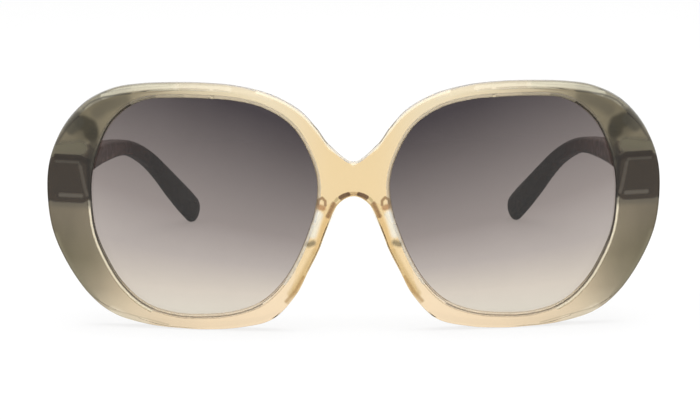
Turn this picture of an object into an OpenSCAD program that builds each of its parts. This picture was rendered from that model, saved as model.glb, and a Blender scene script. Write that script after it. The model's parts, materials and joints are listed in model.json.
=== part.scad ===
// Oversized plastic sunglasses: a wrapped one-piece front, two bevelled lenses, two nose pads and two
// temples that fold on five-knuckle hinges. Millimetres, +Z up, the front faces -Y, +X is the wearer's
// left. The glasses stand open on the plane z = 0, on the lower rims and the temple tips.

/* [Lenses] */
// Width of one lens opening
lens_w = 54.8; // [48:0.1:60]
// Height of one lens opening
lens_h = 53.6; // [47:0.1:58]
// Width between the two lens openings, across the nose
nose_w = 17.2; // [15:0.1:20]
// Thickness of a lens
lens_t = 1.8; // [1.4:0.1:2.2]
// How far a lens reaches into the groove of its rim
lens_bite = 0.7; // [0.5:0.1:0.9]
// How far the lens lies behind the front face
lens_recess = 1.1; // [0.8:0.1:1.4]
// Gap all round between a lens and its groove
lens_fit = 0.06; // [0.04:0.01:0.1]

/* [Front] */
// Thickness of the front, face to back
front_t = 4.6; // [4.2:0.1:5.4]
// Width of the rim beside the temple, its widest place
side_rim = 11; // [10.4:0.1:12.5]
// Horizontal radius that the front is wrapped to
wrap_r = 235; // [200:1:300]
// Vertical radius of the front face
rise_r = 200; // [160:1:300]
// Height of the nose arch under the bridge, above the middle of the lenses
arch_rise = 3.4; // [2.5:0.1:4.5]
// Height of the bridge's top edge above the middle of the lenses
bridge_rise = 11.2; // [10:0.1:13]
// Width of the small bevel round the front face
edge_bevel = 0.6; // [0.4:0.1:0.9]
// Width of the brow bevel along the top outer edge
brow_bevel = 1.5; // [0.9:0.1:2]
// Depth of the brow bevel, front to back
brow_depth = 2.6; // [1.4:0.1:3]
// Width of the cheek bevel along the lower outer corner
cheek_bevel = 1.6; // [0.9:0.1:2]
// Depth of the cheek bevel, front to back
cheek_depth = 1.5; // [1:0.1:2.5]
// Width of the bevel round the back of the front
back_bevel = 0.4; // [0.3:0.1:0.6]

/* [Hinge lugs] */
// Height of the lug that carries the hinge
lug_h = 8.6; // [8.2:0.1:9.6]
// Width of the lug
lug_w = 8; // [7.6:0.1:8.6]
// How far the lug stands out behind the rim
lug_d = 1.8; // [1.4:0.1:2.6]
// Corner radius of the lug
lug_r = 1.2; // [0.8:0.1:2]
// Height of the hinge's middle above the middle of the lenses
hinge_rise = 5.3; // [4:0.1:6]

/* [Hinges] */
// Outer radius of a hinge knuckle
knuckle_r = 1.35; // [1.25:0.05:1.5]
// Height of one knuckle
knuckle_h = 1.3; // [1.2:0.05:1.4]
// Gap between neighbouring knuckles
knuckle_gap = 0.08; // [0.05:0.01:0.12]
// Radius of the hinge screw's shank
screw_r = 0.7; // [0.6:0.05:0.8]
// Radius of the hinge screw's head
screw_head_r = 1.15; // [1:0.05:1.3]
// Height of the hinge screw's head
screw_head_h = 0.7; // [0.5:0.1:0.9]
// Radial gap between the screw and a knuckle
screw_fit = 0.04; // [0.02:0.01:0.08]
// Thickness of a hinge leaf's plate
leaf_t = 1; // [0.8:0.1:1.2]
// Length of the temple leaf's plate
leaf_len = 8; // [6:0.5:10]
// Gap between a leaf's plate and its pocket
leaf_fit = 0.05; // [0.03:0.01:0.1]
// Lean of the hinge pin towards the back, which sets the temples' slope
pin_lean = 5; // [3:0.5:8]

/* [Nose pads] */
// Length of a nose pad along the nose arch
pad_len = 22.5; // [18:0.5:24]
// How far a nose pad stands out behind the front
pad_d = 5.6; // [4:0.1:7]
// Width of a nose pad where it is glued on
pad_w = 3; // [2.6:0.1:3.4]
// How far a nose pad reaches past the rim towards the nose
pad_reach = 0.3; // [0.2:0.1:0.8]
// Thickness of the glue line behind the rim
glue_t = 0.05; // [0.03:0.01:0.1]

/* [Temples] */
// Reach of a temple from its butt to its tip, along the depth of the glasses
temple_reach = 127; // [118:0.5:136]
// Distance that the tip stands inwards of the butt
temple_inset = 25.4; // [18:0.1:28]
// Height of the temple at its butt
temple_h = 10.8; // [10.4:0.1:12]
// Thickness of the temple at its butt
temple_t = 5; // [4.6:0.1:5.6]
// Distance from the outer edge of the front to the temple's outer face
temple_step = 1.6; // [1:0.1:2.2]
// Gap between the temple's butt and the lug
butt_gap = 0.1; // [0.05:0.01:0.2]
// Gap between the hinge knuckles and the temple's inner face
knuckle_clear = 0.3; // [0.2:0.05:0.5]
// Height of the flat core wire in the temple
core_h = 1.8; // [1.2:0.1:2]
// Thickness of the core wire
core_t = 1; // [0.8:0.1:1.2]
// Gap between the core wire and its channel
core_fit = 0.04; // [0.03:0.01:0.08]
// How far the core wire's end is sunk below the temple's butt
core_sunk = 0.4; // [0.2:0.1:1]

/* [Hidden] */

// Champagne front, smoke lenses, amber nose pads, dark brown temples and steel hinges
front_colour = "#e6d2a8";
lens_colour = "#6f6669";
pad_colour = "#e2bd84";
temple_colour = "#3a302c";
steel_colour = "#a9abad";

// Shape of the lens opening: its radius as a share of an ellipse's, every 15 degrees from the temple
// side over the top to the nose and back under the bottom
lens_shares = [
    1.00, 1.03, 1.07, 1.115, 1.105, 1.03, 0.995, 1.015, 1.06, 1.085, 1.06, 1.03,
    0.975, 0.935, 0.935, 0.965, 1.00, 1.00, 1.00, 1.03, 1.055, 1.035, 1.005, 1.00
];

// Width of the rim as a share of the side rim, from the nose arch under the lens, out to the temple
// side and back over the top to the bridge. Each row holds the angle on the lens opening and the share
rim_shares = [
    [178, 0.465], [190, 0.355], [200, 0.348], [212, 0.335], [225, 0.395], [240, 0.435], [255, 0.345],
    [270, 0.31], [282, 0.30], [295, 0.405], [308, 0.63], [320, 0.77], [335, 0.87], [350, 0.96],
    [365, 1.00], [377, 0.99], [389, 0.90], [401, 0.715], [412, 0.51], [422, 0.345], [435, 0.30],
    [450, 0.295], [465, 0.285], [480, 0.292], [493, 0.33], [504, 0.38], [513, 0.468]
];

// Where the brow and cheek bevels are full, as angles on the lens opening: where they begin and end,
// and the stretch that they fade over
brow_angles = [410, 450, 30];
cheek_angles = [302, 308, 16];

// Steps between two rows of the rim's shares, and steps across the bridge
rim_steps = 4;
bridge_steps = 5;
// Rings of a lens, as shares of its outline
lens_ring_shares = [1, 0.9, 0.7, 0.45, 0.2];
// Steps round a lens
lens_steps = 72;

// Stations of a temple: shares of its reach, inset, drop, height and thickness
temple_shares = [
    [0, 0, 0, 1, 1], [0.106, 0.009, 0.03, 0.93, 0.98], [0.224, 0.04, 0.063, 0.76, 0.92],
    [0.343, 0.101, 0.094, 0.60, 0.84], [0.429, 0.163, 0.118, 0.53, 0.80],
    [0.50, 0.22, 0.143, 0.49, 0.76], [0.587, 0.304, 0.183, 0.41, 0.74],
    [0.657, 0.401, 0.234, 0.37, 0.72], [0.72, 0.498, 0.319, 0.37, 0.72],
    [0.783, 0.599, 0.437, 0.39, 0.72], [0.839, 0.705, 0.584, 0.45, 0.70],
    [0.886, 0.806, 0.731, 0.56, 0.70], [0.937, 0.912, 0.881, 0.65, 0.69], [0.976, 1, 1, 0.67, 0.66]
];
// Steps between two stations, and points round a temple's section
temple_steps = 3;
temple_sides = 16;
// Squareness of a temple's section along it and at its tip: 2 is an ellipse, more is squarer. It
// changes from station tip_from on
temple_square = 3.6;
tip_square = 2.2;
tip_from = 10;
// Rings of the rounded tip, as angles of its quarter round
tip_angles = [20, 40, 58, 72, 82];
// How far along the temple's stations the core wire ends, as a share, and its points and steps
core_end_share = 0.96;
core_sides = 8;
core_steps = 24;

// The angle on the lens opening where a nose pad begins, and its steps
pad_angle_from = 178;
pad_steps = 18;
// The section of a nose pad, as shares of its width from the nose side and of its depth
pad_shares = [[1.05, 0.4], [1.2, 0.8], [1.1, 1], [0.85, 0.95], [0.35, 0.5], [0, 0], [1, 0]];
// The width and the depth of a nose pad along its length, as shares of the full ones
pad_w_shares = [
    [0, 0.25], [0.06, 0.7], [0.14, 0.95], [0.3, 1], [0.6, 0.95], [0.85, 0.75], [0.95, 0.5], [1, 0.2]
];
pad_d_shares = [
    [0, 0.25], [0.06, 0.68], [0.14, 0.95], [0.28, 1], [0.42, 0.8], [0.55, 0.5], [0.8, 0.3], [1, 0.1]
];

// Derived places
function rim_share_at(a) = lookup(a, rim_shares);
lens_x = nose_w / 2 + lens_w / 2;
lens_z = lens_h / 2 + side_rim * rim_share_at(270);
arch_z = lens_z + arch_rise;
bridge_z = lens_z + bridge_rise;
hinge_z = lens_z + hinge_rise;
arch_angle = 180 - atan(arch_rise / lens_x);
bridge_angle = 540 - atan(bridge_rise / lens_x);
overrun = 2 * lug_d;
front_half_w = lens_x + lens_w / 2 + side_rim;
pad_angle_to = pad_angle_from + 360 * pad_len / (PI * (lens_w + lens_h) / 2);

// The front's own curved sheet: how far a point of the front face lies behind the foremost place
function sag(r, d) = r - sqrt(r * r - d * d);
function sheet(p) = sag(wrap_r, p[0]) + sag(rise_r, p[1] - lens_z);
function on_sheet(p, depth) = [p[0], sheet(p) + depth, p[1]];

// A smooth curve through rows of numbers
function blend(a, b, c, d, t) =
    (2 * b + (c - a) * t + (2 * a - 5 * b + 4 * c - d) * t * t + (3 * b - a - 3 * c + d) * t * t * t) / 2;
function ahead(a) = [cos(a), sin(a)];
function flip(p) = [-p[0], p[1]];

// The lens opening at angle a, moved outwards by out
function lens_share(a) =
    let (n = len(lens_shares), u = n * (a - 360 * floor(a / 360)) / 360, i = floor(u))
    blend(lens_shares[(i + n - 1) % n], lens_shares[i % n], lens_shares[(i + 1) % n],
        lens_shares[(i + 2) % n], u - i);
function lens_point(a, out) =
    [lens_x, lens_z]
    + lens_share(a) * [lens_w / 2 * cos(a), lens_h / 2 * sin(a)]
    + out * ahead(a);

// The front's outline of one eye: from the top of the nose arch under the lens and round to the bridge
rim_rows = [
    for (r = rim_shares) lens_point(r[0], side_rim * r[1])
];
outline_rows = concat([[0, arch_z]], rim_rows, [[0, bridge_z]]);
angle_rows = concat([arch_angle], [for (r = rim_shares) r[0]], [bridge_angle]);
row_count = len(outline_rows);
function outline_row(i) =
    i < 0 ? flip(outline_rows[1]) :
    i >= row_count ? flip(outline_rows[row_count - 2]) : outline_rows[i];
outline = [
    for (i = [0:row_count - 2], k = [0:rim_steps - 1])
        blend(outline_row(i - 1), outline_row(i), outline_row(i + 1), outline_row(i + 2), k / rim_steps),
    outline_rows[row_count - 1]
];
angles = [
    for (i = [0:row_count - 2], k = [0:rim_steps - 1])
        angle_rows[i] + (angle_rows[i + 1] - angle_rows[i]) * k / rim_steps,
    angle_rows[row_count - 1]
];
outline_count = len(outline);
function outline_at(i) =
    i < 0 ? flip(outline[1]) : i >= outline_count ? flip(outline[outline_count - 2]) : outline[i];
// The way into the rim from the outline, square to it
function inward(i) =
    let (d = outline_at(i + 1) - outline_at(i - 1)) [-d[1], d[0]] / norm(d);
function fade(a, b) = max(0, min(1, 1 - (b[0] - a) / b[2], 1 - (a - b[1]) / b[2]));
function bevel_w(a) =
    edge_bevel
    + (brow_bevel - edge_bevel) * fade(a, brow_angles)
    + (cheek_bevel - edge_bevel) * fade(a, cheek_angles);
function bevel_d(a) =
    edge_bevel
    + (brow_depth - edge_bevel) * fade(a, brow_angles)
    + (cheek_depth - edge_bevel) * fade(a, cheek_angles);

// One section of the rim, from the front face over the outer edge and the back to the lens groove
groove_from = lens_recess - lens_fit;
groove_to = lens_recess + lens_t + lens_fit;
function rim_section(a, edge, in, w, d) =
    let (hole = lens_point(a, 0), out = ahead(a))
    [
        on_sheet(hole + edge_bevel * out, 0),
        on_sheet(edge + w * in, 0),
        on_sheet(edge, d),
        on_sheet(edge, front_t - back_bevel),
        on_sheet(edge + back_bevel * in, front_t),
        on_sheet(hole + back_bevel * out, front_t),
        on_sheet(hole, front_t - back_bevel),
        on_sheet(hole, groove_to),
        on_sheet(hole + (lens_bite + lens_fit) * out, (groove_from + groove_to) / 2),
        on_sheet(hole, groove_from),
        on_sheet(hole, edge_bevel)
    ];
rim_sections = [
    for (i = [0:outline_count - 1])
        rim_section(angles[i], outline[i], inward(i), bevel_w(angles[i]), bevel_d(angles[i])),
    for (k = [1:bridge_steps - 1])
        let (
            s = k / bridge_steps,
            a = bridge_angle + (arch_angle + 360 - bridge_angle) * s,
            z = bridge_z + (arch_z - bridge_z) * s
        )
        rim_section(a, [0, z], [0, 2 * s - 1], edge_bevel, edge_bevel)
];

// A closed ring of sections, each a closed loop of points
module ring_of(sections) {
    n = len(sections);
    m = len(sections[0]);
    polyhedron(
        [for (s = sections, p = s) p],
        [
            for (i = [0:n - 1], j = [0:m - 1], h = [0, 1])
                let (a = i * m, b = (i + 1) % n * m, k = (j + 1) % m)
                h == 0 ? [a + j, b + j, b + k] : [a + j, b + k, a + k]
        ]
    );
}

// A tube of sections with a flat cap at each end
module tube_of(sections) {
    n = len(sections);
    m = len(sections[0]);
    polyhedron(
        [for (s = sections, p = s) p],
        concat(
            [
                for (i = [0:n - 2], j = [0:m - 1], h = [0, 1])
                    let (a = i * m, b = (i + 1) * m, k = (j + 1) % m)
                    h == 0 ? [a + j, b + k, b + j] : [a + j, a + k, b + k]
            ],
            [[for (j = [m - 1:-1:0]) j]],
            [[for (j = [0:m - 1]) (n - 1) * m + j]]
        )
    );
}

// A lens: rings from the rim's groove to the middle, front and back, round a bevelled edge
function lens_ring(share, depth, out) = [
    for (k = [0:lens_steps - 1])
        let (
            p = lens_point(360 * k / lens_steps, out),
            q = [lens_x, lens_z] + share * (p - [lens_x, lens_z])
        )
        on_sheet(q, depth)
];
lens_rings = concat(
    [for (i = [len(lens_ring_shares) - 1:-1:0]) lens_ring(lens_ring_shares[i], lens_recess, 0)],
    [lens_ring(1, lens_recess + lens_t / 2, lens_bite)],
    [for (s = lens_ring_shares) lens_ring(s, lens_recess + lens_t, 0)]
);

// The place of the hinge: its pin, the lug's back and the temple's butt
temple_out_x = front_half_w - temple_step;
temple_in_x = temple_out_x - temple_t;
temple_mid_x = temple_out_x - temple_t / 2;
pin_x = temple_in_x - knuckle_clear - knuckle_r;
rim_back_y = sheet([temple_mid_x, hinge_z]) + front_t;
lug_back_y = rim_back_y + lug_d;
butt_y = lug_back_y + butt_gap;
pin_y = lug_back_y + knuckle_r + knuckle_clear;
lug_in_x = pin_x - knuckle_r;
stack_h = 5 * knuckle_h + 4 * knuckle_gap;
shoe_w = 2 * knuckle_r + leaf_t / 2;
// The shoe lies deep enough for its leaning back to clear the temple's butt
shoe_back = pin_y - lug_back_y + stack_h / 2 * tan(pin_lean) + leaf_fit;

// The temple's stations, smoothly joined
station_count = len(temple_shares);
function station(i) = temple_shares[min(station_count - 1, max(0, i))];
function temple_row(u) =
    let (i = min(station_count - 2, floor(u)))
    blend(station(i - 1), station(i), station(i + 1), station(i + 2), u - i);
function temple_centre(u, drop) =
    let (r = temple_row(u))
    [temple_mid_x - temple_inset * r[1], butt_y + temple_reach * r[0], hinge_z - drop * r[2]];
function unit(v) = v / norm(v);
// The ways ahead, up and sideways at a station; the butt itself is square to the depth
station_gap_share = 0.05;
function way_ahead(u, drop) =
    u <= 0 ? [0, 1, 0] :
    unit(temple_centre(min(u + station_gap_share, station_count - 1), drop)
        - temple_centre(u - station_gap_share, drop));
function way_up(u, drop) =
    let (a = way_ahead(u, drop)) unit([0, 0, 1] - a[2] * a);
function squared(v, square) = sign(v) * pow(abs(v), 2 / square);
function square_at(u) =
    temple_square + (tip_square - temple_square) * max(0, (u - tip_from) / (tip_u - tip_from));
function temple_section(u, drop, size, forth) =
    let (
        c = temple_centre(u, drop),
        a = way_ahead(u, drop),
        up = way_up(u, drop),
        side = cross(a, up),
        r = temple_row(u),
        square = square_at(u)
    )
    [
        for (k = [0:temple_sides - 1])
            let (t = 360 * k / temple_sides)
            c + forth * a
            + size * temple_h / 2 * r[3] * squared(sin(t), square) * up
            + size * temple_t / 2 * r[4] * squared(cos(t), square) * side
    ];
tip_u = station_count - 1;
tip_round = temple_h / 2 * station(tip_u)[3];
function temple_sections(drop) = [
    for (k = [0:(station_count - 1) * temple_steps])
        temple_section(k / temple_steps, drop, 1, 0),
    for (t = tip_angles)
        temple_section(tip_u, drop, cos(t), tip_round * sin(t))
];
function lowest(sections) = min([for (s = sections, p = s) p[2]]);
// The drop of the temple that lets its tip stand on the same plane as the lower rims
rim_low = lowest(rim_sections);
first_drop = hinge_z;
first_low = lowest(temple_sections(first_drop));
second_drop = first_drop + first_low - rim_low;
second_low = lowest(temple_sections(second_drop));
temple_drop =
    second_drop + (second_low - rim_low) * (second_drop - first_drop) / (first_low - second_low);
temple_rings = temple_sections(temple_drop);

// A flat wire driven in along the temple from the butt, gap wider all round, whose two end rings lie
// forth of their stations
function core_section(u, gap, forth) =
    let (
        a = way_ahead(u, temple_drop),
        c = temple_centre(u, temple_drop) + forth * a,
        up = way_up(u, temple_drop),
        side = cross(a, up)
    )
    [
        for (k = [0:core_sides - 1])
            let (t = 360 * (k + 1 / 2) / core_sides)
            c
            + (core_h / 2 + gap) * squared(sin(t), temple_square) * up
            + (core_t / 2 + gap) * squared(cos(t), temple_square) * side
    ];
function core_sections(gap, near, far) = [
    core_section(0, gap, near),
    for (k = [1:core_steps])
        core_section(core_end_share * tip_u * k / core_steps, gap, k == core_steps ? far : 0)
];

// A nose pad: a leaning fin along the leg of the nose arch, behind the rim, as it stands at share s of
// its length
function pad_section(s) =
    let (
        a = pad_angle_from + (pad_angle_to - pad_angle_from) * s,
        w = lookup(s, pad_w_shares),
        d = lookup(s, pad_d_shares),
        nose = lens_point(a, side_rim * rim_share_at(a) + pad_reach * w)
    )
    [
        for (p = pad_shares)
            on_sheet(nose - pad_w * w * p[0] * ahead(a), front_t + glue_t + pad_d * d * p[1])
    ];

// The glasses' depth, which their own frame is centred on
foremost = min([for (s = rim_sections, p = s) p[1]]);
hindmost = max([for (s = temple_rings, p = s) p[1]]);
depth_mid = (foremost + hindmost) / 2;
echo(
    pin = [pin_x, pin_y - depth_mid, hinge_z - rim_low],
    depth = hindmost - foremost,
    width = 2 * front_half_w,
    drop = temple_drop
);

module in_frame() {
    translate([0, -depth_mid, -rim_low]) children();
}

module at_side(side) {
    in_frame() mirror([side == "left" ? 0 : 1, 0, 0]) children();
}

// Things placed from here have the pin as their Z axis and the temple along their Y axis
module at_pin() {
    translate([pin_x, pin_y, hinge_z]) rotate([-pin_lean, 0, 0]) children();
}

// Knuckle i of the five, counted from below, with the screw's hole through it
module knuckle(i) {
    translate([0, 0, i * (knuckle_h + knuckle_gap) - stack_h / 2])
        difference() {
            children();
            translate([0, 0, -knuckle_h])
                cylinder(r = screw_r + screw_fit, h = 3 * knuckle_h, $fn = 32);
        }
}

module lug() {
    translate([lug_in_x, rim_back_y - front_t / 2, hinge_z - lug_h / 2])
        rotate([90, 0, 0]) mirror([0, 0, 1]) linear_extrude(front_t / 2 + lug_d)
            translate([lug_w / 2, lug_h / 2])
                union() {
                    square([lug_w - 2 * lug_r, lug_h], center = true);
                    square([lug_w, lug_h - 2 * lug_r], center = true);
                    for (x = [-1, 1], y = [-1, 1])
                        translate([x * (lug_w / 2 - lug_r), y * (lug_h / 2 - lug_r)])
                            circle(r = lug_r, $fn = 32);
                }
}

// The shoe of the front's hinge leaf, gap larger all round and open to the back by open
module shoe(gap, open) {
    translate([-knuckle_r - gap, -shoe_back - leaf_t - gap, -stack_h / 2 - gap])
        cube([shoe_w + 2 * gap, leaf_t + gap + open, stack_h + 2 * gap]);
}

// The plate of the temple's hinge leaf, gap larger all round and open to the inner face by open
module plate(gap, open) {
    translate([knuckle_r + knuckle_clear - open, -gap, -stack_h / 2 - gap])
        cube([leaf_t + open + gap, leaf_len + 2 * gap, stack_h + 2 * gap]);
}

module front() {
    color(front_colour)
        in_frame()
            difference() {
                union() {
                    for (side = [0, 1])
                        mirror([side, 0, 0]) {
                            ring_of(rim_sections);
                            lug();
                        }
                }
                for (side = [0, 1])
                    mirror([side, 0, 0]) at_pin() shoe(leaf_fit, shoe_back);
            }
}

module lens(side) {
    color(lens_colour, 0.6) at_side(side) tube_of(lens_rings);
}

module nose_pad(side) {
    color(pad_colour) at_side(side) tube_of([for (k = [0:pad_steps]) pad_section(k / pad_steps)]);
}

module front_hinge(side) {
    color(steel_colour)
        at_side(side) at_pin() {
            shoe(0, 0);
            for (i = [0, 2, 4])
                knuckle(i)
                    union() {
                        cylinder(r = knuckle_r, h = knuckle_h, $fn = 32);
                        translate([-knuckle_r, -shoe_back - leaf_t / 2, 0])
                            cube([knuckle_r * 2, shoe_back + leaf_t / 2, knuckle_h]);
                    }
        }
}

module temple_hinge(side) {
    color(steel_colour)
        at_side(side) at_pin() {
            plate(0, 0);
            for (i = [1, 3])
                knuckle(i)
                    union() {
                        cylinder(r = knuckle_r, h = knuckle_h, $fn = 32);
                        cube([knuckle_r + knuckle_clear + leaf_t / 2, knuckle_r, knuckle_h]);
                    }
        }
}

module hinge_screw(side) {
    slot_w = screw_r / 2;
    color(steel_colour)
        at_side(side) at_pin()
            difference() {
                union() {
                    translate([0, 0, -stack_h / 2])
                        cylinder(r = screw_r, h = stack_h + screw_head_h / 2, $fn = 32);
                    translate([0, 0, stack_h / 2 + screw_fit])
                        cylinder(r = screw_head_r, h = screw_head_h, $fn = 32);
                }
                translate([-screw_head_r * 2, -slot_w / 2, stack_h / 2 + screw_fit + screw_head_h / 2])
                    cube([screw_head_r * 4, slot_w, screw_head_h]);
            }
}

module temple(side) {
    color(temple_colour)
        at_side(side)
            difference() {
                tube_of(temple_rings);
                at_pin() plate(leaf_fit, knuckle_r);
                tube_of(concat([core_section(0, core_fit, -overrun)], core_sections(core_fit, 0, 0)));
            }
}

module core_wire(side) {
    color(steel_colour)
        at_side(side) tube_of(core_sections(0, core_sunk, -core_fit));
}

front();
lens("left");  // lens_left
lens("right");  // lens_right
nose_pad("left");  // nose_pad_left
nose_pad("right");  // nose_pad_right
front_hinge("left");  // front_hinge_left
front_hinge("right");  // front_hinge_right
temple_hinge("left");  // temple_hinge_left
temple_hinge("right");  // temple_hinge_right
hinge_screw("left");  // hinge_screw_left
hinge_screw("right");  // hinge_screw_right
temple("left");  // temple_left
temple("right");  // temple_right
core_wire("left");  // core_wire_left
core_wire("right");  // core_wire_right
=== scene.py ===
import json
import math

import bmesh
import bpy
from mathutils import Matrix, Vector


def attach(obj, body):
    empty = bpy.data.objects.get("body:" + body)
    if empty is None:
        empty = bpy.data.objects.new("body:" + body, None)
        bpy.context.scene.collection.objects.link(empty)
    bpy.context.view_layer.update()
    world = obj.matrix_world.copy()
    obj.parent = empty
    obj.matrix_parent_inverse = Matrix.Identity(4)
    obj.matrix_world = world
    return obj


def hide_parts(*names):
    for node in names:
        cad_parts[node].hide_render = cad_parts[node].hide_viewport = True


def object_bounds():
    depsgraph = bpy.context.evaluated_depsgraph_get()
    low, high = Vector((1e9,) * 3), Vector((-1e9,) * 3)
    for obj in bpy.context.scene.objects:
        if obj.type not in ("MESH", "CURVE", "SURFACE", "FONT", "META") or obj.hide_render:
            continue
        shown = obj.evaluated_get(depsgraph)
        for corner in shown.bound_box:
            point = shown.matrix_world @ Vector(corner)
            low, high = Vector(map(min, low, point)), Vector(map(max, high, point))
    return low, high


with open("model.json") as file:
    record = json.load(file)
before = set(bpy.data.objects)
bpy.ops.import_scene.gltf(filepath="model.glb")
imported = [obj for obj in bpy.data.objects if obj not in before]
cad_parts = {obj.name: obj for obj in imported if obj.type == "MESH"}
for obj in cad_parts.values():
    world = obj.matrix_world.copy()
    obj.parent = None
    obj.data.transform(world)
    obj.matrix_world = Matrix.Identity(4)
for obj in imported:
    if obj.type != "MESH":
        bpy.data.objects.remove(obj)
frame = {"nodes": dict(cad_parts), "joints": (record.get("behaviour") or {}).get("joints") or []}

cad_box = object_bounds()

# Sizes, in millimetres
LENS_W, LENS_H, NOSE_W, LENS_T = 54.8, 53.6, 17.2, 1.8
LENS_BITE, LENS_RECESS, LENS_FIT, LENS_CHAMFER = 0.7, 1.1, 0.06, 0.1
FRONT_T, SIDE_RIM, WRAP_R, RISE_R = 4.6, 11.0, 235.0, 200.0
ARCH_RISE, BRIDGE_RISE = 3.4, 11.2
EDGE_BEVEL, BACK_BEVEL = 0.6, 0.4
BROW_BEVEL, BROW_DEPTH, CHEEK_BEVEL, CHEEK_DEPTH = 1.5, 2.6, 1.6, 1.5
# The angles on the lens opening between which a bevel is full, and how far beyond them it fades
BROW_ANGLES, CHEEK_ANGLES = (410, 450, 30), (302, 308, 16)
LUG_H, LUG_W, LUG_D, LUG_R, LUG_ROUND, HINGE_RISE = 8.6, 8.0, 1.8, 1.2, 0.7, 5.3
KNUCKLE_R, KNUCKLE_H, KNUCKLE_GAP = 1.35, 1.3, 0.08
LEAF_T, LEAF_LEN, LEAF_FIT, PIN_LEAN = 1.0, 8.0, 0.05, 5.0
PAD_LEN, PAD_D, PAD_W, PAD_REACH, GLUE_T = 22.5, 5.6, 3.0, 0.3, 0.05
TEMPLE_REACH, TEMPLE_INSET, TEMPLE_H, TEMPLE_T = 127.0, 25.4, 10.8, 5.0
TEMPLE_STEP, BUTT_GAP, KNUCKLE_CLEAR = 1.6, 0.1, 0.3
CORE_H, CORE_T, CORE_FIT = 1.8, 1.0, 0.04

# The radius of the lens opening as a share of an ellipse's, every 15 degrees
LENS_SHARES = (
    1.00, 1.03, 1.07, 1.115, 1.105, 1.03, 0.995, 1.015, 1.06, 1.085, 1.06, 1.03,
    0.975, 0.935, 0.935, 0.965, 1.00, 1.00, 1.00, 1.03, 1.055, 1.035, 1.005, 1.00,
)
# The rim's width as a share of the side rim's, by the angle on the lens opening
RIM_SHARES = (
    (178, 0.465), (190, 0.355), (200, 0.348), (212, 0.335), (225, 0.395), (240, 0.435), (255, 0.345),
    (270, 0.31), (282, 0.30), (295, 0.405), (308, 0.63), (320, 0.77), (335, 0.87), (350, 0.96),
    (365, 1.00), (377, 0.99), (389, 0.90), (401, 0.715), (412, 0.51), (422, 0.345), (435, 0.30),
    (450, 0.295), (465, 0.285), (480, 0.292), (493, 0.33), (504, 0.38), (513, 0.468),
)
# The temple's stations: shares of its reach, inset and drop, then of its height and thickness
TEMPLE_SHARES = (
    (0, 0, 0, 1, 1), (0.106, 0.009, 0.03, 0.93, 0.98), (0.224, 0.04, 0.063, 0.76, 0.92),
    (0.343, 0.101, 0.094, 0.60, 0.84), (0.429, 0.163, 0.118, 0.53, 0.80),
    (0.50, 0.22, 0.143, 0.49, 0.76), (0.587, 0.304, 0.183, 0.41, 0.74),
    (0.657, 0.401, 0.234, 0.37, 0.72), (0.72, 0.498, 0.319, 0.37, 0.72),
    (0.783, 0.599, 0.437, 0.39, 0.72), (0.839, 0.705, 0.584, 0.45, 0.70),
    (0.886, 0.806, 0.731, 0.56, 0.70), (0.937, 0.912, 0.881, 0.65, 0.69), (0.976, 1, 1, 0.67, 0.66),
)
# The power of the temple's squared section, its power at the tip, and the station from which it changes
TEMPLE_SQUARE, TIP_SQUARE, TIP_FROM = 3.6, 2.2, 10
TEMPLE_DROP = 31.9352
# How the temple's butt is rounded: what is taken off its half sizes, and how far along
BUTT_ROUND = ((0.3, 0), (0.15, 0.04), (0.04, 0.15))
TIP_ANGLES = (8, 16, 24, 32, 40, 48, 56, 64, 72, 79, 85)
# Where the cutter of the core wire's channel starts and ends, along the temple
MOUTH_ENDS = (-1, 2.5)
# The pad's section, as shares of its width and depth, and its stations: share of its length, width and depth
PAD_SHARES = ((1, 0), (1.05, 0.4), (1.2, 0.8), (1.1, 1), (0.85, 0.95), (0.35, 0.5), (0, 0))
PAD_ALONG = (
    (0, 0.6, 0.55), (0.06, 0.75, 0.72), (0.14, 0.93, 0.93), (0.28, 1, 1), (0.42, 0.98, 0.8),
    (0.55, 0.96, 0.5), (0.8, 0.78, 0.3), (0.95, 0.5, 0.15), (1, 0.4, 0.12),
)
PAD_GLUED = ((0.33, 0), (0.67, 0))
# The angle at which the pad starts, and the shares of its length in which its sizes are evened out, its ends
# are rounded, and its last rings stop short of a point
PAD_ANGLE, PAD_EVEN, PAD_ROUND, PAD_SHORT = 178.0, 0.02, 0.06, 0.002

# How finely the pieces are made
RIM_STEPS, BRIDGE_STEPS, CORNER_STEPS, FACE_STEPS, WALL_STEPS = 10, 16, 6, 5, 3
LUG_SEGMENTS, LUG_ROUND_SEGMENTS = 8, 6
LENS_STEPS, LENS_RINGS, LENS_CROWDING = 240, 14, 1.3
TEMPLE_STEPS, TEMPLE_SIDES, MOUTH_SIDES = 10, 48, 16
# How far to each side, in stations, the temple's direction is taken
ALONG = 0.05
PAD_STEPS, PAD_CURVE_STEPS, PAD_EVEN_STEPS = 60, 6, 4
# Edges sharper than this, in degrees, aren't shaded smooth
SHARP, PAD_SHARP, TEMPLE_SHARP, METAL_SHARP = 32, 50, 40, 30
# How near two places, in metres, count as one
SAME, FLUSH = 1e-9, 1e-7
# The points of the rim's section on its groove's walls, and the lens's painted edge shade, a dark line that
# stands for the shade of its groove: where its rings lie outside the opening, in millimetres, and how dark
# the painted shade is
GROOVE_POINTS = 4
EDGE_SHADE_RINGS = ((0.02, 0), (0.05, 1), (0.26, 1), (0.29, 0.5), (0.44, 0.5), (0.47, 0))

MM = 0.001
# How steeply light from the front comes down through the plastic
SLANT = 0.13
# Degrees between the points of a shade's path
PATH_STEP = 6


# Curves and the front's sheet
def table(rows, at, column):
    """Straight interpolation in a table whose first column is ahead."""
    if at <= rows[0][0]:
        return rows[0][column]
    for low, high in zip(rows, rows[1:]):
        if at <= high[0]:
            share = (at - low[0]) / (high[0] - low[0])
            return low[column] + (high[column] - low[column]) * share
    return rows[-1][column]


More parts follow.
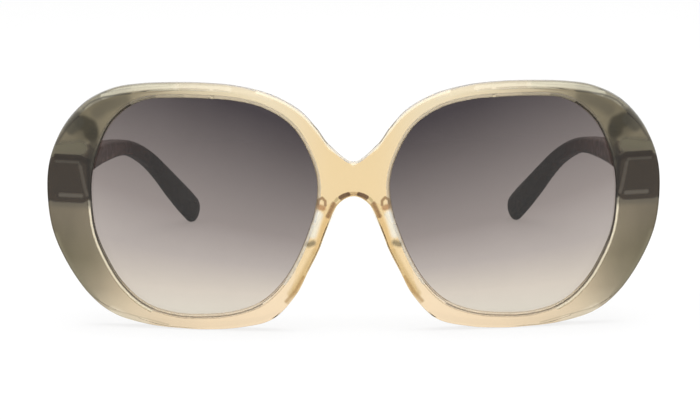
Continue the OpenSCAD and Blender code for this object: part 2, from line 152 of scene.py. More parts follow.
LENS_X = (NOSE_W + LENS_W) / 2
LENS_Z = LENS_H / 2 + SIDE_RIM * table(RIM_SHARES, 270, 1)
ARCH_Z = LENS_Z + ARCH_RISE
BRIDGE_Z = LENS_Z + BRIDGE_RISE
HINGE_Z = LENS_Z + HINGE_RISE
ARCH_ANGLE = 180 - math.degrees(math.atan(ARCH_RISE / LENS_X))
BRIDGE_ANGLE = 540 - math.degrees(math.atan(BRIDGE_RISE / LENS_X))


def sag(radius, far):
    """How far a circle falls away from its tangent."""
    return radius - math.sqrt(radius * radius - far * far)


def sheet(p):
    """How far back the front's face lies at a point (x, z)."""
    return sag(WRAP_R, p[0]) + sag(RISE_R, p[1] - LENS_Z)


def blend(a, b, c, d, t):
    """A Catmull-Rom curve through four rows of numbers."""
    return [
        (2 * q + (r - p) * t + (2 * p - 5 * q + 4 * r - s) * t * t + (3 * q - p - 3 * r + s) * t**3) / 2
        for p, q, r, s in zip(a, b, c, d)
    ]


def ahead(angle):
    return Vector((math.cos(math.radians(angle)), math.sin(math.radians(angle))))


def lens_point(angle, out=0.0):
    """A point (x, z) of the lens opening's edge, moved outwards."""
    n = len(LENS_SHARES)
    u = n * (angle % 360) / 360
    i = int(u)
    share = blend(*[(LENS_SHARES[(i + k) % n],) for k in (-1, 0, 1, 2)], u - i)[0]
    way = ahead(angle)
    return Vector((
        LENS_X + share * LENS_W / 2 * way[0] + out * way[0],
        LENS_Z + share * LENS_H / 2 * way[1] + out * way[1],
    ))


def lens_path(out, low, high):
    """Points round the lens opening, moved outwards, between two angles."""
    return [lens_point(a, out) for a in range(low, high + 1, PATH_STEP)]


def edge_path(inset, low, high, step=PATH_STEP):
    """Points along the front's outer edge, moved inwards, between two angles on the lens opening."""
    return [lens_point(a, SIDE_RIM * table(RIM_SHARES, a, 1) - inset) for a in range(low, high + 1, step)]


# The hinge's place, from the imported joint
TEMPLE_OUT = LENS_X + LENS_W / 2 + SIDE_RIM - TEMPLE_STEP
TEMPLE_MID = TEMPLE_OUT - TEMPLE_T / 2
PIN_X = TEMPLE_OUT - TEMPLE_T - KNUCKLE_CLEAR - KNUCKLE_R
RIM_BACK = sheet((TEMPLE_MID, HINGE_Z)) + FRONT_T
LUG_BACK = RIM_BACK + LUG_D
BUTT = LUG_BACK + BUTT_GAP
PIN_Y = LUG_BACK + KNUCKLE_R + KNUCKLE_CLEAR
STACK_H = 5 * KNUCKLE_H + 4 * KNUCKLE_GAP
SHOE_BACK = PIN_Y - LUG_BACK + STACK_H / 2 * math.tan(math.radians(PIN_LEAN)) + LEAF_FIT
pin = frame["joints"][0]["pos_m"]
SHIFT = Vector((0, PIN_Y - pin[1] / MM, HINGE_Z - pin[2] / MM))


def row(p):
    """A point of the part's own sizes, in the row frame, in metres."""
    return (Vector(p) - SHIFT) * MM


def on_sheet(p, depth):
    return row((p[0], sheet(p) + depth, p[1]))


# Mesh helpers
def object_of(name, verts, faces, sharp=SHARP):
    mesh = bpy.data.meshes.new(name)
    mesh.from_pydata([tuple(v) for v in verts], [], faces)
    bm = bmesh.new()
    bm.from_mesh(mesh)
    bmesh.ops.recalc_face_normals(bm, faces=bm.faces)
    bm.to_mesh(mesh)
    bm.free()
    shade(mesh, sharp)
    obj = bpy.data.objects.new(name, mesh)
    bpy.context.scene.collection.objects.link(obj)
    return obj


def shade(mesh, sharp=SHARP):
    mesh.polygons.foreach_set("use_smooth", [True] * len(mesh.polygons))
    mesh.set_sharp_from_angle(angle=math.radians(sharp))
    mesh.update()


def tube(name, rings, sharp=SHARP):
    """A closed tube of rings with a flat cap at each end."""
    m = len(rings[0])
    faces = [
        (i * m + j, i * m + (j + 1) % m, (i + 1) * m + (j + 1) % m, (i + 1) * m + j)
        for i in range(len(rings) - 1) for j in range(m)
    ]
    faces += [tuple(range(m))[::-1], tuple(range((len(rings) - 1) * m, len(rings) * m))]
    return object_of(name, [p for ring in rings for p in ring], faces, sharp)


def mirrored(name, source, sharp=SHARP):
    """The same piece for the other side."""
    verts = [(-v.co.x, v.co.y, v.co.z) for v in source.data.vertices]
    faces = [tuple(reversed(p.vertices)) for p in source.data.polygons]
    return object_of(name, verts, faces, sharp)


def cut(obj, tools, operation, sharp=SHARP):
    """Joins or cuts the tools into obj's mesh and removes them."""
    for tool in tools:
        mod = obj.modifiers.new("cut", "BOOLEAN")
        mod.operation = operation
        mod.solver = "EXACT"
        mod.object = tool
    bpy.context.view_layer.update()
    done = bpy.data.meshes.new_from_object(obj.evaluated_get(bpy.context.evaluated_depsgraph_get()))
    obj.modifiers.clear()
    obj.data = done
    done.name = obj.name
    for tool in tools:
        bpy.data.objects.remove(tool)
    shade(done, sharp)


def block(name, corner, size, turn=None):
    """A block in the part's own sizes, optionally turned."""
    bm = bmesh.new()
    bmesh.ops.create_cube(bm, size=1)
    for v in bm.verts:
        v.co = Vector(corner) + Vector([(c + 0.5) * s for c, s in zip(v.co, size)])
    for v in bm.verts:
        v.co = row(turn @ v.co if turn else v.co)
    mesh = bpy.data.meshes.new(name)
    bm.to_mesh(mesh)
    bm.free()
    obj = bpy.data.objects.new(name, mesh)
    bpy.context.scene.collection.objects.link(obj)
    return obj


AT_PIN = Matrix.Translation((PIN_X, PIN_Y, HINGE_Z)) @ Matrix.Rotation(math.radians(-PIN_LEAN), 4, "X")


# The front
def quarter(base, way, w, level, d, flat=0.0):
    """The rounded corner from the wall at base to the face at level, w further along way."""
    points = []
    for k in range(CORNER_STEPS + 1):
        turn, s = math.pi / 2 * k / CORNER_STEPS, k / CORNER_STEPS
        along = (1 - math.cos(turn)) * (1 - flat) + s * flat
        down = (1 - math.sin(turn)) * (1 - flat) + (1 - s) * flat
        points.append((base + way * w * along, level + d * down))
    return points


def between(a, b, steps):
    """The points of a straight stretch of the section, without its ends."""
    return [(a[0].lerp(b[0], k / steps), a[1] + (b[1] - a[1]) * k / steps) for k in range(1, steps)]


def rim_section(angle, edge, inward, w, d, flat):
    """The rim's closed section from the lens opening out to edge, whose bevel is w wide and d deep."""
    hole, out = lens_point(angle), ahead(angle)
    low, high = LENS_RECESS - LENS_FIT, LENS_RECESS + LENS_T + LENS_FIT
    inner = quarter(hole, out, EDGE_BEVEL, 0, EDGE_BEVEL)
    outer = quarter(edge, inward, w, 0, d, flat)[::-1]
    back_outer = quarter(edge, inward, BACK_BEVEL, FRONT_T, -BACK_BEVEL)
    back_inner = quarter(hole, out, BACK_BEVEL, FRONT_T, -BACK_BEVEL)[::-1]
    profile = inner + between(inner[-1], outer[0], FACE_STEPS) + outer
    profile += between(outer[-1], back_outer[0], WALL_STEPS) + back_outer
    profile += between(back_outer[-1], back_inner[0], FACE_STEPS) + back_inner
    deep = hole + out * (LENS_BITE + LENS_FIT)
    profile += [(hole, high), (deep, high), (deep, low), (hole, low)]
    return [on_sheet(p, depth) for p, depth in profile]


def fade(angle, span):
    """One between the span's angles, falling to nought beyond them."""
    return max(0.0, min(1.0, 1 - (span[0] - angle) / span[2], 1 - (angle - span[1]) / span[2]))


def front_half():
    """The sections of one half of the front, round its lens and back across the bridge's middle."""
    rows = [Vector((0, ARCH_Z))] + [lens_point(a, SIDE_RIM * s) for a, s in RIM_SHARES]
    rows.append(Vector((0, BRIDGE_Z)))
    turns = [ARCH_ANGLE] + [a for a, _ in RIM_SHARES] + [BRIDGE_ANGLE]
    padded = [Vector((-rows[1][0], rows[1][1]))] + rows + [Vector((-rows[-2][0], rows[-2][1]))]
    outline, angles = [], []
    for i in range(len(rows) - 1):
        for k in range(RIM_STEPS):
            t = k / RIM_STEPS
            outline.append(Vector(blend(*padded[i:i + 4], t)))
            angles.append(turns[i] + (turns[i + 1] - turns[i]) * t)
    outline.append(rows[-1])
    angles.append(turns[-1])
    ends = [Vector((-outline[1][0], outline[1][1]))] + outline + [Vector((-outline[-2][0], outline[-2][1]))]
    sections = []
    for i, (edge, angle) in enumerate(zip(outline, angles)):
        run = (ends[i + 2] - ends[i]).normalized()
        brow, cheek = fade(angle, BROW_ANGLES), fade(angle, CHEEK_ANGLES)
        w = EDGE_BEVEL + (BROW_BEVEL - EDGE_BEVEL) * brow + (CHEEK_BEVEL - EDGE_BEVEL) * cheek
        d = EDGE_BEVEL + (BROW_DEPTH - EDGE_BEVEL) * brow + (CHEEK_DEPTH - EDGE_BEVEL) * cheek
        sections.append(rim_section(angle, edge, Vector((-run[1], run[0])), w, d, max(brow, cheek)))
    for k in range(1, BRIDGE_STEPS):
        s = k / BRIDGE_STEPS
        edge = Vector((0, BRIDGE_Z + (ARCH_Z - BRIDGE_Z) * s))
        angle = BRIDGE_ANGLE + (ARCH_ANGLE + 360 - BRIDGE_ANGLE) * s
        sections.append(rim_section(angle, edge, Vector((0, 2 * s - 1)), EDGE_BEVEL, EDGE_BEVEL, 0))
    return sections


def build_front():
    sections = front_half()
    n, m = len(sections), len(sections[0])
    points = [p for section in sections for p in section]
    on_seam = [abs(p[0]) < SAME for p in points]
    quads = []
    for i in range(n):
        for j in range(m):
            quad = (i * m + j, i * m + (j + 1) % m, (i + 1) % n * m + (j + 1) % m, (i + 1) % n * m + j)
            if not all(on_seam[q] for q in quad):
                quads.append(quad)
    verts = [Vector(p) for p in points]
    walls = [k % m >= m - GROOVE_POINTS for k in range(len(points))]
    other = []
    for k, p in enumerate(points):
        if on_seam[k]:
            other.append(k)
        else:
            other.append(len(verts))
            verts.append(Vector((-p[0], p[1], p[2])))
            walls.append(walls[k])
    quads += [tuple(other[q] for q in reversed(quad)) for quad in quads]
    used = sorted({q for quad in quads for q in quad})
    new = {old: k for k, old in enumerate(used)}
    faces = [tuple(new[q] for q in quad) for quad in quads]
    obj = object_of("front_moulding", [verts[k] for k in used], faces)
    marks = obj.data.attributes.new("groove", "FLOAT", "POINT")
    marks.data.foreach_set("value", [float(walls[k]) for k in used])
    lugs, pockets = [], []
    for side in (1, -1):
        lug = block(
            "lug", (PIN_X - KNUCKLE_R, RIM_BACK - FRONT_T / 2, HINGE_Z - LUG_H / 2),
            (LUG_W, FRONT_T / 2 + LUG_D, LUG_H),
        )
        round_lug(lug)
        pocket = block(
            "pocket", (-KNUCKLE_R - LEAF_FIT, -SHOE_BACK - LEAF_T - LEAF_FIT, -STACK_H / 2 - LEAF_FIT),
            (
                2 * KNUCKLE_R + LEAF_T / 2 + 2 * LEAF_FIT, LEAF_T + LEAF_FIT + SHOE_BACK,
                STACK_H + 2 * LEAF_FIT,
            ),
            AT_PIN,
        )
        for tool, group in ((lug, lugs), (pocket, pockets)):
            if side < 0:
                tool.data.transform(Matrix.Scale(-1, 4, (1, 0, 0)))
                tool.data.flip_normals()
            group.append(tool)
    cut(obj, lugs, "UNION")
    cut(obj, pockets, "DIFFERENCE")
    return obj


def round_lug(obj):
    """Rounds the lug's four corners along its depth, and then the edges of its back."""
    bm = bmesh.new()
    bm.from_mesh(obj.data)
    deep = [e for e in bm.edges if abs((e.verts[0].co - e.verts[1].co).normalized()[1]) > 0.9]
    bmesh.ops.bevel(bm, geom=deep, offset=LUG_R * MM, segments=LUG_SEGMENTS, profile=0.5, affect="EDGES")
    back = max(v.co.y for v in bm.verts)
    rim = [
        e for e in bm.edges if all(abs(v.co.y - back) < FLUSH for v in e.verts)
        and len(e.link_faces) == 2 and any(abs(f.normal[1]) < 0.5 for f in e.link_faces)
    ]
    bmesh.ops.bevel(
        bm, geom=rim, offset=LUG_ROUND * MM, segments=LUG_ROUND_SEGMENTS, profile=0.5, affect="EDGES",
    )
    bm.to_mesh(obj.data)
    bm.free()


# Lenses, pads and temples
def build_lens(name):
    middle = Vector((LENS_X, LENS_Z))
    angles = [360 * k / LENS_STEPS for k in range(LENS_STEPS)]
    shares = [1 - (k / LENS_RINGS) ** LENS_CROWDING for k in range(LENS_RINGS)]
    rings = []
    for share in reversed(shares):
        rings.append([on_sheet(middle.lerp(lens_point(a), share), LENS_RECESS) for a in angles])
    for out, depth in [(out, 0) for out, _ in EDGE_SHADE_RINGS] + [
        (LENS_BITE - LENS_CHAMFER, 0), (LENS_BITE, LENS_CHAMFER),
        (LENS_BITE, LENS_T - LENS_CHAMFER), (LENS_BITE - LENS_CHAMFER, LENS_T),
        (EDGE_SHADE_RINGS[1][0], LENS_T),
    ]:
        rings.append([on_sheet(lens_point(a, out), LENS_RECESS + depth) for a in angles])
    for share in shares:
        rings.append([on_sheet(middle.lerp(lens_point(a), share), LENS_RECESS + LENS_T) for a in angles])
    obj = tube(name, rings)
    mark_edge(obj)
    return obj


def mark_edge(obj):
    """Marks the part of the lens that lies in the groove, and the painted dark line of shade on its front
    there.
    """
    face, whole = LENS_RINGS * LENS_STEPS, len(obj.data.vertices)
    dark = [0.0] * face
    for _, value in EDGE_SHADE_RINGS:
        dark += [float(value)] * LENS_STEPS
    dark += [0.0] * (whole - len(dark))
    clear = [float(face <= k < whole - face) for k in range(whole)]
    for name, values in (("painted_edge_shade", dark), ("in_groove", clear)):
        obj.data.attributes.new(name, "FLOAT", "POINT").data.foreach_set("value", values)


def build_pad(name):
    to = PAD_ANGLE + 360 * PAD_LEN / (math.pi * (LENS_W + LENS_H) / 2)
    profile = []
    points = [PAD_SHARES[0]] + list(PAD_SHARES) + [PAD_SHARES[-1]]
    for i in range(len(PAD_SHARES) - 1):
        profile += [blend(*points[i:i + 4], k / PAD_CURVE_STEPS) for k in range(PAD_CURVE_STEPS)]
    profile += [PAD_SHARES[-1], *PAD_GLUED]
    rings = []
    for i in range(PAD_STEPS + 1):
        s = i / PAD_STEPS
        around = [s + k * PAD_EVEN for k in range(-PAD_EVEN_STEPS, PAD_EVEN_STEPS + 1)]
        near = [abs(t) if t < 1 else 2 - t for t in around]
        end = min(1, (min(s, 1 - s) + PAD_SHORT) / PAD_ROUND)
        end = math.sqrt(1 - (1 - end) ** 2)
        w = sum(table(PAD_ALONG, t, 1) for t in near) / len(near) * end
        d = sum(table(PAD_ALONG, t, 2) for t in near) / len(near) * end
        angle = PAD_ANGLE + (to - PAD_ANGLE) * s
        nose = lens_point(angle, SIDE_RIM * table(RIM_SHARES, angle, 1) + PAD_REACH * w)
        rings.append([
            on_sheet(nose - ahead(angle) * PAD_W * w * p[0], FRONT_T + GLUE_T + PAD_D * d * max(0, p[1]))
            for p in profile
        ])
    return tube(name, rings, PAD_SHARP)


def temple_row(u):
    """The temple's shares at a place between its stations."""
    last = len(TEMPLE_SHARES) - 1
    i = min(last - 1, int(u))
    return blend(*[TEMPLE_SHARES[min(last, max(0, i + k))] for k in (-1, 0, 1, 2)], u - i)


def temple_centre(u):
    r = temple_row(u)
    return Vector((
        TEMPLE_MID - TEMPLE_INSET * r[1], BUTT + TEMPLE_REACH * r[0], HINGE_Z - TEMPLE_DROP * r[2],
    ))


def squared(v, square):
    return math.copysign(abs(v) ** (2 / square), v)


def temple_ring(u, high, thick, forth, sides):
    """A ring of the temple: high and thick give the half sizes from the station's own."""
    last = len(TEMPLE_SHARES) - 1
    way = Vector((0, 1, 0))
    if u > 0:
        way = (temple_centre(min(u + ALONG, last)) - temple_centre(u - ALONG)).normalized()
    up = (Vector((0, 0, 1)) - way * way[2]).normalized()
    side = way.cross(up)
    r = temple_row(u)
    square = TEMPLE_SQUARE + (TIP_SQUARE - TEMPLE_SQUARE) * max(0, (u - TIP_FROM) / (last - TIP_FROM))
    centre = temple_centre(u) + way * forth
    ring = []
    for k in range(sides):
        t = 2 * math.pi * (k + 0.5) / sides
        ring.append(row(
            centre + up * high(TEMPLE_H / 2 * r[3]) * squared(math.sin(t), square)
            + side * thick(TEMPLE_T / 2 * r[4]) * squared(math.cos(t), square)
        ))
    return ring


def build_temple(name):
    last = len(TEMPLE_SHARES) - 1
    rings = []
    for inset, forth in BUTT_ROUND:
        smaller = lambda size, inset=inset: size - inset
        rings.append(temple_ring(0, smaller, smaller, forth, TEMPLE_SIDES))
    same = lambda size: size
    for k in range(1, last * TEMPLE_STEPS + 1):
        rings.append(temple_ring(k / TEMPLE_STEPS, same, same, 0, TEMPLE_SIDES))
    tip = TEMPLE_H / 2 * TEMPLE_SHARES[-1][3]
    for angle in TIP_ANGLES:
        turn = math.radians(angle)
        rounded = lambda size, turn=turn: size * math.cos(turn)
        rings.append(temple_ring(last, rounded, rounded, tip * math.sin(turn), TEMPLE_SIDES))
    obj = tube(name, rings, TEMPLE_SHARP)
    pocket = block(
        "pocket", (-LEAF_FIT + KNUCKLE_CLEAR, -LEAF_FIT, -STACK_H / 2 - LEAF_FIT),
        (KNUCKLE_R + LEAF_T + 2 * LEAF_FIT, LEAF_LEN + 2 * LEAF_FIT, STACK_H + 2 * LEAF_FIT), AT_PIN,
    )
    core_high, core_thick = (lambda size: CORE_H / 2 + CORE_FIT), (lambda size: CORE_T / 2 + CORE_FIT)
    mouth = [temple_ring(0, core_high, core_thick, forth, MOUTH_SIDES) for forth in MOUTH_ENDS]
    mouth = tube("mouth", mouth)
    cut(obj, [pocket, mouth], "DIFFERENCE", TEMPLE_SHARP)
    return obj


# Materials
class Nodes:
    """The nodes of a material or a world, made in short lines."""

    def __init__(self, data, place):
        data.use_nodes = True
        self.tree = data.node_tree
        self.place = self.node("ShaderNodeTexCoord").outputs[place]

    def node(self, kind, **settings):
        node = self.tree.nodes.new(kind)
        for key, value in settings.items():
            setattr(node, key, value)
        return node

    def put(self, socket, value):
        if isinstance(value, bpy.types.NodeSocket):
            self.tree.links.new(value, socket)
        else:
            socket.default_value = value

    def set(self, **values):
        for key, value in values.items():
            self.put(self.shader.inputs[key.replace("_", " ")], value)

    def math(self, operation, *values):
        node = self.node("ShaderNodeMath", operation=operation)
        for socket, value in zip(node.inputs, values):
            self.put(socket, value)
        return node.outputs[0]

    def axes(self):
        node = self.node("ShaderNodeSeparateXYZ")
        self.put(node.inputs[0], self.place)
        return node.outputs

    def span(self, value, low, high, to_low=0.0, to_high=1.0, smooth=True):
        node = self.node("ShaderNodeMapRange", interpolation_type="SMOOTHSTEP" if smooth else "LINEAR")
        for socket, item in zip(node.inputs, (value, low, high, to_low, to_high)):
            self.put(socket, item)
        return node.outputs[0]

    def mix(self, share, a, b):
        node = self.node("ShaderNodeMix", data_type="RGBA")
        for socket, value in ((node.inputs[0], share), (node.inputs[6], a), (node.inputs[7], b)):
            self.put(socket, value)
        return node.outputs[2]

    def noise(self, scale, detail, stretch=(1, 1, 1)):
        mapping = self.node("ShaderNodeMapping")
        self.put(mapping.inputs[0], self.place)
        mapping.inputs["Scale"].default_value = stretch
        node = self.node("ShaderNodeTexNoise")
        self.put(node.inputs["Vector"], mapping.outputs[0])
        node.inputs["Scale"].default_value = scale
        node.inputs["Detail"].default_value = detail
        return node.outputs[0]

    def ramp(self, value, stops):
        node = self.node("ShaderNodeValToRGB")
        self.put(node.inputs[0], value)
        items = node.color_ramp.elements
        while len(items) < len(stops):
            items.new(0.5)
        for item, (at, colour) in zip(items, stops):
            item.position = at
            item.color = (*colour, 1)
        return node.outputs[0]

    def attribute(self, name, low, high, smooth=True):
        """Nought to one where the mesh's attribute passes from low to high."""
        fac = self.node("ShaderNodeAttribute", attribute_name=name).outputs["Fac"]
        return self.span(fac, low, high, smooth=smooth)

    def worn(self, scale, detail, smoothest, roughest):
        """A roughness that wanders between two values."""
        return self.span(self.noise(scale, detail), *WEAR_SPAN, smoothest, roughest)

    def bump(self, height, distance, strength):
        node = self.node("ShaderNodeBump")
        node.inputs["Strength"].default_value = strength
        node.inputs["Distance"].default_value = distance
        self.put(node.inputs["Height"], height)
        self.put(self.shader.inputs["Normal"], node.outputs[0])


class Surface(Nodes):
    """A material with one Principled shader."""

    def __init__(self, name):
        self.material = bpy.data.materials.new(name)
        super().__init__(self.material, "Object")
        self.shader = self.tree.nodes["Principled BSDF"]
        self.output = self.tree.nodes["Material Output"]

    def folded(self):
        """The place with both sides laid on one another, seen along the slant on the front's own face."""
        x, y, z = self.axes()
        over = self.math("SUBTRACT", z, (LENS_Z - SHIFT[2]) * MM)
        wrap = self.math("MULTIPLY", self.math("MULTIPLY", x, x), 0.5 / (WRAP_R * MM))
        rise = self.math("MULTIPLY", self.math("MULTIPLY", over, over), 0.5 / (RISE_R * MM))
        depth = self.math("SUBTRACT", self.math("ADD", y, SHIFT[1] * MM), self.math("ADD", wrap, rise))
        flat = self.node("ShaderNodeCombineXYZ")
        self.put(flat.inputs[0], self.math("ABSOLUTE", x))
        self.put(flat.inputs[2], self.math("MULTIPLY_ADD", depth, SLANT, z))
        return flat.outputs[0]

    def near(self, place, path, inner, outer):
        """One on a path of (x, z) points in millimetres, nought further than outer from it."""
        found = None
        for a, b in zip(path, path[1:]):
            a, b = Vector((a[0], 0, a[1])) * MM, Vector((b[0], 0, b[1])) * MM
            along = self.node("ShaderNodeVectorMath", operation="SUBTRACT")
            self.put(along.inputs[0], place)
            along.inputs[1].default_value = a
            dot = self.node("ShaderNodeVectorMath", operation="DOT_PRODUCT")
            self.put(dot.inputs[0], along.outputs[0])
            dot.inputs[1].default_value = (b - a) / (b - a).length_squared
            share = self.node("ShaderNodeClamp")
            self.put(share.inputs[0], dot.outputs["Value"])
            foot = self.node("ShaderNodeVectorMath", operation="SCALE")
            foot.inputs[0].default_value = b - a
            self.put(foot.inputs["Scale"], share.outputs[0])
            gap = self.node("ShaderNodeVectorMath", operation="DISTANCE")
            self.put(gap.inputs[0], along.outputs[0])
            self.put(gap.inputs[1], foot.outputs[0])
            found = self.math("MINIMUM", found, gap.outputs["Value"]) if found else gap.outputs["Value"]
        return self.span(found, inner * MM, outer * MM, 1.0, 0.0)

    def shaded(self, body, shades):
        """The colour with its painted light and shade, and how cloudy they make the plastic so that their
        colours hide what lies behind.
        """
        place, painted_cover_total = self.folded(), 0.0
        for path, inner, outer, colour, strength, painted_cover in shades:
            spot = self.math("MULTIPLY", self.near(place, path, inner, outer), strength)
            body = self.mix(spot, body, rgba(colour))
            if painted_cover:
                painted_cover_total = self.math("MAXIMUM", painted_cover_total, self.math("MULTIPLY", spot, painted_cover))
        return body, painted_cover_total


def rgba(colour):
    return (*colour, 1.0)


def grey(level):
    return (level, level, level, 1.0)


# Painted light and shade in the plastic, the same on both sides: soft bands whose colours stand for the
# highlights, dark lines and shade that refraction and the parts behind give it. Each has the path that it
# follows, in millimetres, the distances from it where it is full and where it ends, its colour, its strength
# and how cloudy it makes the plastic, so that its colour hides what lies behind
# Painted highlights on the brow's bevel, the bridge's top, the lower and outer edges and round the lens,
# painted dark lines along the creases and beside the lens, and cloudy painted covers over the groove's dark
# line above the lens
EDGE_SHADES = (
    (edge_path(0.5, 398, 410), 0.2, 0.8, (0.6, 0.58, 0.46), 0.6, 0.2),
    (edge_path(0.6, 408, 438), 0.4, 0.9, (0.86, 0.83, 0.66), 0.85, 0.35),
    (edge_path(0.6, 438, 462), 0.4, 0.9, (0.95, 0.88, 0.70), 0.8, 0.3),
    (edge_path(0.6, 462, 480), 0.2, 1.0, (1.0, 0.92, 0.74), 0.4, 0.2),
    (edge_path(0.05, 474, 513, 3) + [(0, BRIDGE_Z)], 0.15, 0.5, (0.95, 0.84, 0.62), 0.85, 0.7),
    (((65.2, 53.8), (63.7, 55.1), (61.9, 56.0), (60.2, 56.6), (56.3, 57.4), (53.4, 57.8)),
     0.08, 0.38, (0.05, 0.045, 0.03), 0.85, 0),
    (((53.4, 57.6), (48.5, 58.15), (43.5, 58.75)), 0.05, 0.3, (0.27, 0.23, 0.15), 0.7, 0),
    (((43.5, 58.75), (39.5, 59.0)), 0.05, 0.3, (0.5, 0.42, 0.27), 0.5, 0),
    (edge_path(0.9, 297, 311, 7), 0.4, 1.4, (0.95, 0.90, 0.76), 0.55, 0),
    (((62.2, 5.8), (59.2, 4.3), (52.8, 2.9), (45.2, 1.1)), 0.05, 0.26, (0.40, 0.35, 0.26), 0.6, 0),
    (edge_path(0.5, 318, 352), 0.3, 0.9, (0.25, 0.235, 0.17), 0.7, 0),
    (lens_path(0.6, 56, 68), 0.15, 0.5, (0.44, 0.38, 0.265), 0.7, 0.6),
    (lens_path(0.6, 68, 81), 0.15, 0.5, (0.60, 0.51, 0.36), 0.8, 0.7),
    (lens_path(0.6, 81, 96), 0.15, 0.5, (0.73, 0.61, 0.43), 0.85, 0.7),
    (lens_path(0.6, 96, 186), 0.15, 0.5, (0.83, 0.70, 0.50), 0.85, 0.65),
    (lens_path(0.12, 240, 372), 0.04, 0.26, (0.10, 0.075, 0.05), 0.9, 0.5),
    (lens_path(0.15, 340, 404), 0.06, 0.32, (0.022, 0.014, 0.009), 0.9, 0.6),
    (lens_path(0.1, 118, 140), 0.03, 0.2, (0.6, 0.5, 0.38), 0.4, 0.3),
    (lens_path(0.1, 140, 182), 0.03, 0.2, (0.42, 0.34, 0.25), 0.55, 0.3),
    (lens_path(0.65, 297, 363), 0.14, 0.42, (1.0, 0.90, 0.68), 0.95, 0.85),
    (lens_path(0.4, 188, 224), 0.1, 0.5, (1.0, 0.96, 0.86), 0.8, 0.4),
)
# Painted shade at the hinge block: dark marks and a cloudy brown field that stand for the hinge and temple
# seen through the plastic and their shade, a cloudy cover over the temple's top, and painted highlight lines
# along the lug's outline and foot
HINGE_SHADES = (
    (((73.6, 42.9), (66.0, 44.2)), 1.0, 2.6, (0.175, 0.155, 0.10), 0.95, 0.7),
    (((66.0, 49.5), (64.4, 48.5)), 1.0, 4.2, (0.055, 0.048, 0.028), 0.65, 0),
    (((65.2, 50.2), (63.6, 49.6), (63.2, 47.8)), 1.2, 2.4, (0.031, 0.025, 0.010), 0.85, 0),
    (((68.2, 48.6), (66.2, 50.4)), 0.8, 1.8, (0.05, 0.046, 0.032), 0.7, 0),
    (((62.6, 48.5), (62.7, 45.5), (63.5, 41.5)), 0.4, 1.4, (0.042, 0.035, 0.018), 0.75, 0.3),
    (((65.2, 53.6), (66.9, 51.9), (68.5, 50.2), (71.0, 46.5)), 0.15, 0.7, (0.05, 0.045, 0.03), 0.7, 0),
    (((61.7, 52.8), (59.5, 54.5), (55, 56.1)), 0.5, 2.4, (0.09, 0.08, 0.055), 0.6, 0),
    (((72.5, 31), (64, 31.2)), 0.6, 2.4, (0.10, 0.09, 0.07), 0.7, 0),
    (((66.1, 39.5), (72.2, 39.5), (72.2, 33.1), (66.1, 33.1), (66.1, 39.5), (69.2, 39.5), (69.2, 33.1)),
     2.1, 2.6, (0.043, 0.029, 0.016), 1.0, 0.75),
    (((72, 41.9), (66, 41.8), (64.6, 41.0)), 0.45, 0.9, (0.022, 0.012, 0.004), 0.95, 0.75),
    (((64.0, 41), (63.8, 36), (63.6, 32)), 0.4, 1.0, (0.014, 0.008, 0.002), 0.85, 0.75),
    (((72.1, 40.7), (66.6, 40.7), (66.1, 39.6)), 0.1, 0.5, (0.085, 0.073, 0.053), 0.8, 0.75),
    (((66.1, 39.6), (65.1, 34.6), (64.6, 32.8)), 0.15, 0.7, (0.110, 0.090, 0.066), 0.8, 0.75),
    (((71.2, 32.5), (66.0, 32.5)), 0.15, 0.8, (0.145, 0.125, 0.095), 0.8, 0.75),
)
# Painted light and shade in the nose arch: amber and brown marks that refraction gives its edges and pads,
# dark marks at the arch's top, and a painted highlight
NOSE_SHADES = (
    (((6.3, 28.8), (7.2, 26.5), (8.1, 23.5), (9.4, 20.0)), 0.2, 0.9, (0.75, 0.54, 0.27), 0.8, 0),
    (((9.4, 20.0), (11.3, 16.3), (13.3, 12.6), (15.3, 9.6)), 0.2, 1.3, (0.66, 0.50, 0.27), 0.8, 0),
    (((12.2, 13.8), (14.2, 10.3), (16.4, 7.7)), 0.1, 0.7, (0.42, 0.27, 0.11), 0.7, 0),
    (((4.8, 32.0), (5.4, 30.7), (6.2, 28.9)), 0.15, 0.8, (0.26, 0.13, 0.045), 0.85, 0),
    (((8.4, 29.2), (9.1, 27), (9.9, 24.4)), 0.35, 1.5, (1.0, 1.0, 0.95), 0.95, 0.12),
    (((9.8, 22.3), (10.9, 21.9)), 0.2, 1.15, (0.27, 0.225, 0.14), 0.9, 0),
    (((8.3, 31.2), (7.4, 30.9)), 0.35, 1.0, (0.45, 0.24, 0.10), 0.85, 0),
    (((8.6, 31.9), (8.4, 32.9), (7.5, 33.4), (6.8, 32.6), (6.8, 31.6)),
     0.15, 0.5, (0.30, 0.17, 0.07), 0.85, 0),
    (((0, 34.4), (1.2, 34.35)), 0.3, 0.6, (0.5, 0.33, 0.15), 0.7, 0),
    (((1.3, 34.3), (2.3, 34.0), (3.2, 33.5)), 0.35, 0.6, (0.127, 0.061, 0.021), 0.95, 0),
    (((3.9, 33.2), (4.3, 32.7)), 0.2, 0.5, (0.45, 0.36, 0.17), 0.7, 0),
)


# Tones, in linear light. Spans are in metres, but for those of a noise, and the first number of
# a tone's row is its share of a span
WHITE = rgba((1, 1, 1))
WEAR_SPAN, PATCH_SPAN = (0.3, 0.75), (0.3, 0.7)
